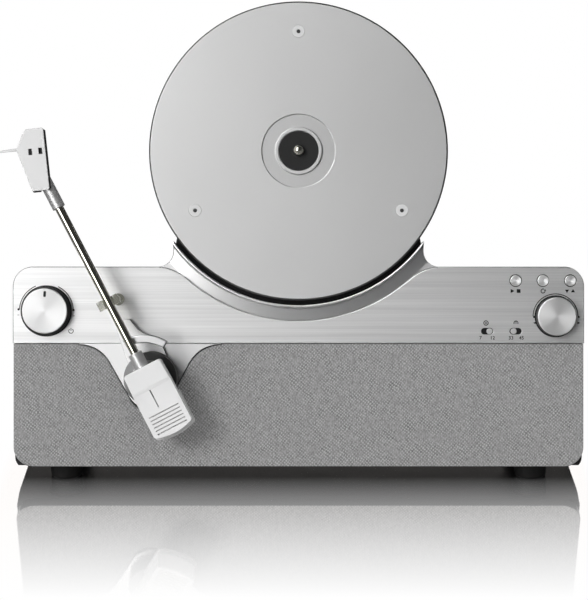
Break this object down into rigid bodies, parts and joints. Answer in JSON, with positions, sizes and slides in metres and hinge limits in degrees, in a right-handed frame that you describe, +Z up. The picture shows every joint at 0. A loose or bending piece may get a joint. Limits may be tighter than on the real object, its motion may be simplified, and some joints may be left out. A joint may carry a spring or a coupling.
{
  "type": "record player",
  "caption": "Upright record player with a leaning front, a spinning platter, an automatic tonearm, a cloth speaker front, knobs, buttons and slide switches.",
  "frame": {"origin": "on the floor plane, under the middle of the bounding box", "axes": "+Z up, the front face looks towards -Y and leans back, +X to the listener's right"},
  "size_m": [0.4046, 0.1562, 0.3284],
  "materials": {
    "brushed_metal": "brushed",
    "satin_metal": "satin",
    "polished_metal": "polished",
    "gunmetal": "dark satin",
    "steel": "plain",
    "brass": "machined",
    "cloth": "woven",
    "black_plastic": "fine texture",
    "grey_plastic": "plain",
    "white_plastic": "satin",
    "silver_paint": "satin silver",
    "clear_grey": "translucent grey",
    "pale_rubber": "pale grey",
    "rubber": "black",
    "board": "circuit board"
  },
  "bodies": {
    "body": {"rear_housing": "black_plastic", "neck_cover": "black_plastic", "front_baffle": "black_plastic", "fascia_panel": "brushed_metal", "platter_surround": "satin_metal", "tonearm_plinth": "satin_metal", "speaker_grille": "cloth", "bearing_sleeve": "brass", "drive_motor": "steel", "drive_belt": "rubber", "speaker_left": "black_plastic", "speaker_right": "black_plastic", "volume_encoder": "steel", "jog_encoder": "steel", "control_board": "board", "lift_bracket": "satin_metal", "lift_actuator": "steel", "arm_rest": "clear_grey", "tonearm_base": "gunmetal", "arm_bearing": "brass", "arm_motor": "steel", "arm_chassis": "steel", "foot_front_left": "rubber", "foot_front_right": "rubber", "foot_back_left": "rubber", "foot_back_right": "rubber", "main_board": "board", "line_jacks": "black_plastic", "dc_inlet": "black_plastic"},
    "platter": {"platter": "satin_metal", "record_pad_1": "pale_rubber", "record_pad_2": "pale_rubber", "record_pad_3": "pale_rubber", "centre_disc": "rubber", "sub_platter": "black_plastic", "spindle": "polished_metal"},
    "motor_rotor": {"motor_pulley": "brass"},
    "volume_shaft": {"volume_shaft": "steel"},
    "volume_knob": {"volume_knob": "satin_metal"},
    "jog_knob": {"jog_knob": "satin_metal"},
    "start_button": {"start_button": "polished_metal"},
    "repeat_button": {"repeat_button": "polished_metal"},
    "arm_button": {"arm_button": "polished_metal"},
    "size_switch": {"size_switch": "grey_plastic"},
    "speed_switch": {"speed_switch": "grey_plastic"},
    "lift_rail": {"lift_rail": "polished_metal"},
    "arm_yoke": {"arm_yoke": "steel", "arm_gear": "brass"},
    "arm_pinion": {"arm_pinion": "brass"},
    "tonearm": {"arm_carrier": "steel", "arm_tube": "polished_metal", "lower_collar": "satin_metal", "upper_collar": "satin_metal", "headshell": "silver_paint", "finger_lift": "silver_paint", "cartridge": "black_plastic", "stylus": "white_plastic", "counterweight_cover": "white_plastic", "counterweight_base": "white_plastic", "counterweight": "steel"}
  },
  "joints": [
    {"name": "platter_spin", "type": "hinge", "parent": "body", "child": "platter", "pos_m": [0.00227, 0.01727, 0.22614], "axis": [0, 0.9588, -0.284], "continuous": true},
    {"name": "motor_spin", "type": "hinge", "parent": "body", "child": "motor_rotor", "pos_m": [0.04727, 0.00023, 0.16861], "axis": [0, 0.9588, -0.284], "continuous": true},
    {"name": "volume_turn", "type": "hinge", "parent": "body", "child": "volume_shaft", "pos_m": [-0.17423, -0.01437, 0.11933], "axis": [0, 0.9588, -0.284], "range_deg": [-150, 150]},
    {"name": "volume_push", "type": "slide", "parent": "volume_shaft", "child": "volume_knob", "axis": [0, 0.9588, -0.284], "range_m": [0, 0.0008], "stiffness_N_per_m": 600, "springref_m": -0.0015},
    {"name": "jog_turn", "type": "hinge", "parent": "body", "child": "jog_knob", "pos_m": [0.18217, -0.01545, 0.11568], "axis": [0, 0.9588, -0.284], "continuous": true},
    {"name": "start_press", "type": "slide", "parent": "body", "child": "start_button", "axis": [0, 0.9588, -0.284], "range_m": [0, 0.0008], "stiffness_N_per_m": 300, "springref_m": -0.0015},
    {"name": "repeat_press", "type": "slide", "parent": "body", "child": "repeat_button", "axis": [0, 0.9588, -0.284], "range_m": [0, 0.0008], "stiffness_N_per_m": 300, "springref_m": -0.0015},
    {"name": "arm_press", "type": "slide", "parent": "body", "child": "arm_button", "axis": [0, 0.9588, -0.284], "range_m": [0, 0.0008], "stiffness_N_per_m": 300, "springref_m": -0.0015},
    {"name": "size_slide", "type": "slide", "parent": "body", "child": "size_switch", "axis": [-1, 0, 0], "range_m": [0, 0.003]},
    {"name": "speed_slide", "type": "slide", "parent": "body", "child": "speed_switch", "axis": [1, 0, 0], "range_m": [0, 0.003]},
    {"name": "arm_swing", "type": "hinge", "parent": "body", "child": "arm_yoke", "pos_m": [-0.10043, -0.02772, 0.07426], "axis": [0, 0.9588, -0.284], "range_deg": [0, 44]},
    {"name": "arm_drive", "type": "hinge", "parent": "body", "child": "arm_pinion", "pos_m": [-0.07043, -0.02772, 0.07426], "axis": [0, 0.9588, -0.284], "range_deg": [-176, 0]},
    {"name": "arm_tilt", "type": "hinge", "parent": "arm_yoke", "child": "tonearm", "pos_m": [-0.10043, -0.05744, 0.08307], "axis": [0.887, 0.1311, 0.4427], "range_deg": [-1.2, 8]},
    {"name": "cue_lift", "type": "slide", "parent": "body", "child": "lift_rail", "axis": [0, -0.9588, 0.284], "range_m": [-0.0005, 0.0033]}
  ],
  "couplings": [
    {"joint": "motor_spin", "follows": "platter_spin", "ratio": 10.8},
    {"joint": "arm_drive", "follows": "arm_swing", "ratio": -4},
    {"joint": "cue_lift", "follows": "arm_tilt", "m_per_rad": 0.0235}
  ]
}
